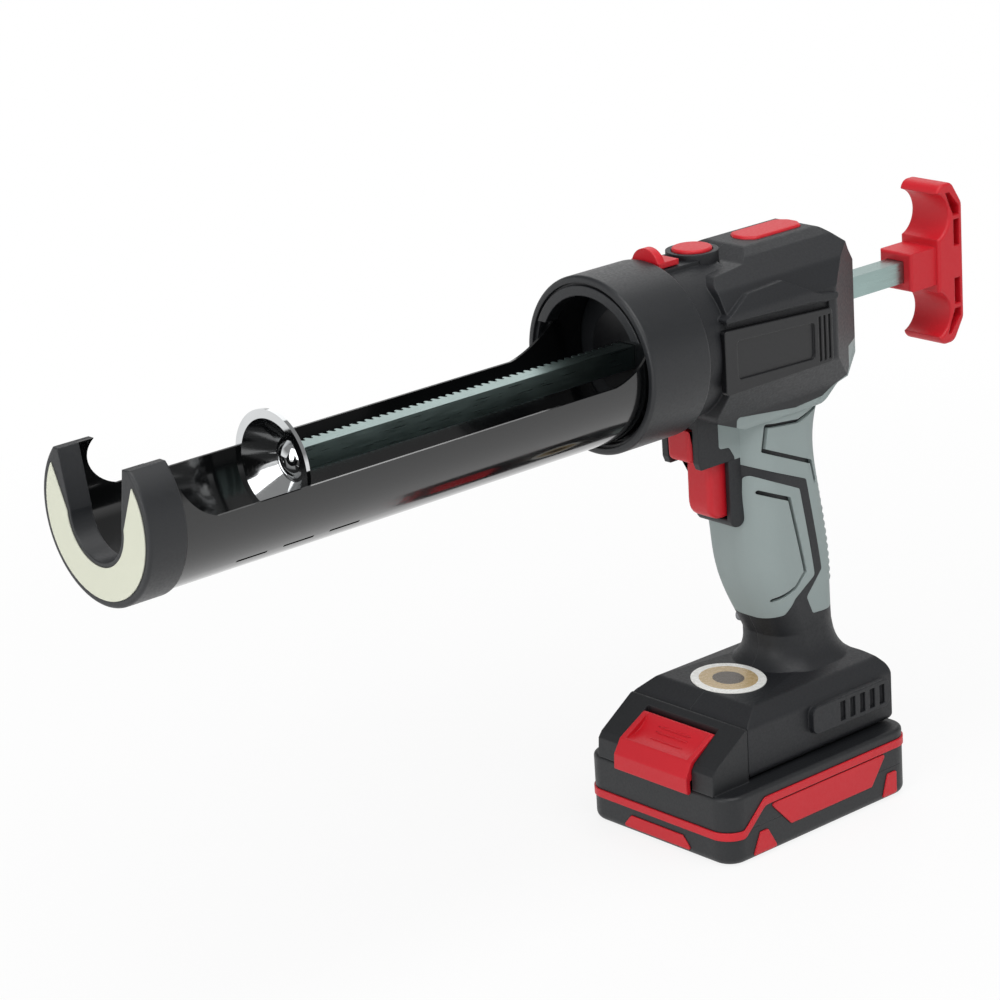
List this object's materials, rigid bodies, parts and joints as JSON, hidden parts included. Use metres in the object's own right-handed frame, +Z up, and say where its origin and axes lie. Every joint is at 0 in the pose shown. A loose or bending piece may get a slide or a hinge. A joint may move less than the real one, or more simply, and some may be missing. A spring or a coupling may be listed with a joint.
{
  "type": "cordless caulking gun",
  "caption": "Battery caulking gun with a half-open turning barrel, toothed push rod with a T pull handle, motor pistol grip with soft skins and a slide-on battery pack as its foot",
  "frame": {"origin": "centre of the base of the battery pack, where the tool stands", "axes": "+X along the barrel towards the muzzle, +Y the tool's left, +Z up"},
  "size_m": [0.3863, 0.075, 0.2192],
  "materials": {
    "black_plastic": "moulded, fine grain",
    "soft_grey": "soft overmould, matt",
    "red_plastic": "moulded, half gloss",
    "black_paint": "gloss powder coat",
    "zinc_steel": "bright zinc plate",
    "chrome": "bright chrome plate",
    "gear_steel": "hardened, oiled",
    "cream_pad": "moulded, matt",
    "brass": "plain",
    "guide_plastic": "acetal, plain",
    "board": "lacquered",
    "cell_wrap": "shrink sleeve",
    "label": "satin film"
  },
  "bodies": {
    "housing": {"housing_left": "black_plastic", "housing_right": "black_plastic", "grip_skin_front": "soft_grey", "grip_skin_back": "soft_grey", "plaque_left": "black_plastic", "plaque_right": "black_plastic", "top_inlay": "red_plastic", "button_boss": "black_plastic", "nose_ring": "black_plastic", "front_guide": "guide_plastic", "rear_guide": "guide_plastic", "gearbox_case": "zinc_steel", "motor_can": "zinc_steel", "switch_body": "black_plastic", "control_board": "board", "contact_block": "black_plastic", "contact_blade_left": "brass", "contact_blade_right": "brass", "housing_screw_1": "gear_steel", "housing_screw_2": "gear_steel", "housing_screw_3": "gear_steel", "oval_label": "label", "pinion_bush": "brass", "trigger_spring": "gear_steel", "release_spring": "gear_steel", "catch_spring": "gear_steel"},
    "barrel": {"barrel_tube": "black_paint", "barrel_collar": "black_plastic", "front_cap": "black_plastic", "front_pad": "cream_pad"},
    "push_rod": {"push_rod": "zinc_steel", "plunger_screw": "chrome", "pull_handle": "red_plastic", "handle_pin": "zinc_steel"},
    "plunger": {"plunger_disc": "chrome"},
    "pinion": {"drive_pinion": "gear_steel", "driven_gear": "gear_steel"},
    "output": {"output_gear": "gear_steel"},
    "trigger": {"trigger": "red_plastic"},
    "release": {"release_button": "red_plastic", "release_bridge": "gear_steel", "clutch_pin": "gear_steel"},
    "catch": {"barrel_catch": "red_plastic"},
    "pack": {"pack_lower": "black_plastic", "pack_upper": "black_plastic", "pack_belt": "red_plastic", "pack_panel_left": "red_plastic", "pack_panel_right": "red_plastic", "pack_accent_nose": "red_plastic", "pack_accent_front_left": "red_plastic", "pack_accent_front_right": "red_plastic", "pack_accent_rear_left": "red_plastic", "pack_accent_rear_right": "red_plastic", "pack_cells": "cell_wrap", "cell_carrier": "black_plastic", "pack_button_spring": "gear_steel"},
    "pack_button": {"pack_button": "red_plastic"}
  },
  "joints": [
    {"name": "rod_slide", "type": "slide", "parent": "housing", "child": "push_rod", "axis": [1, 0, 0], "range_m": [-0.13, 0.034]},
    {"name": "barrel_turn", "type": "hinge", "parent": "housing", "child": "barrel", "pos_m": [0.05, 0, 0.184], "axis": [1, 0, 0], "continuous": true},
    {"name": "disc_spin", "type": "hinge", "parent": "push_rod", "child": "plunger", "pos_m": [0.196, 0, 0.184], "axis": [1, 0, 0], "continuous": true},
    {"name": "pinion_spin", "type": "hinge", "parent": "housing", "child": "pinion", "pos_m": [0.001, -0.0102, 0.18], "axis": [0, 0, 1], "range_deg": [-280, 1066]},
    {"name": "output_spin", "type": "hinge", "parent": "housing", "child": "output", "pos_m": [-0.0162, 0, 0.17], "axis": [0, 0, 1], "range_deg": [-1600, 420]},
    {"name": "trigger_pull", "type": "slide", "parent": "housing", "child": "trigger", "axis": [-1, 0, 0], "range_m": [0, 0.006], "stiffness_N_per_m": 900, "springref_m": -0.004, "deforming": ["trigger_spring"]},
    {"name": "release_press", "type": "slide", "parent": "housing", "child": "release", "axis": [0, 0, -1], "range_m": [0, 0.003], "stiffness_N_per_m": 1200, "springref_m": -0.003, "deforming": ["release_spring"]},
    {"name": "catch_slide", "type": "slide", "parent": "housing", "child": "catch", "axis": [-1, 0, 0], "range_m": [0, 0.003], "stiffness_N_per_m": 700, "springref_m": -0.003, "deforming": ["catch_spring"]},
    {"name": "pack_slide", "type": "slide", "parent": "housing", "child": "pack", "axis": [1, 0, 0], "range_m": [0, 0.075]},
    {"name": "pack_button_press", "type": "slide", "parent": "pack", "child": "pack_button", "axis": [0, 0, -1], "range_m": [0, 0.003], "stiffness_N_per_m": 1200, "springref_m": -0.003, "deforming": ["pack_button_spring"]}
  ],
  "couplings": [
    {"joint": "pinion_spin", "follows": "rod_slide", "rad_per_m": -142.86},
    {"joint": "output_spin", "follows": "rod_slide", "rad_per_m": 214.29}
  ]
}
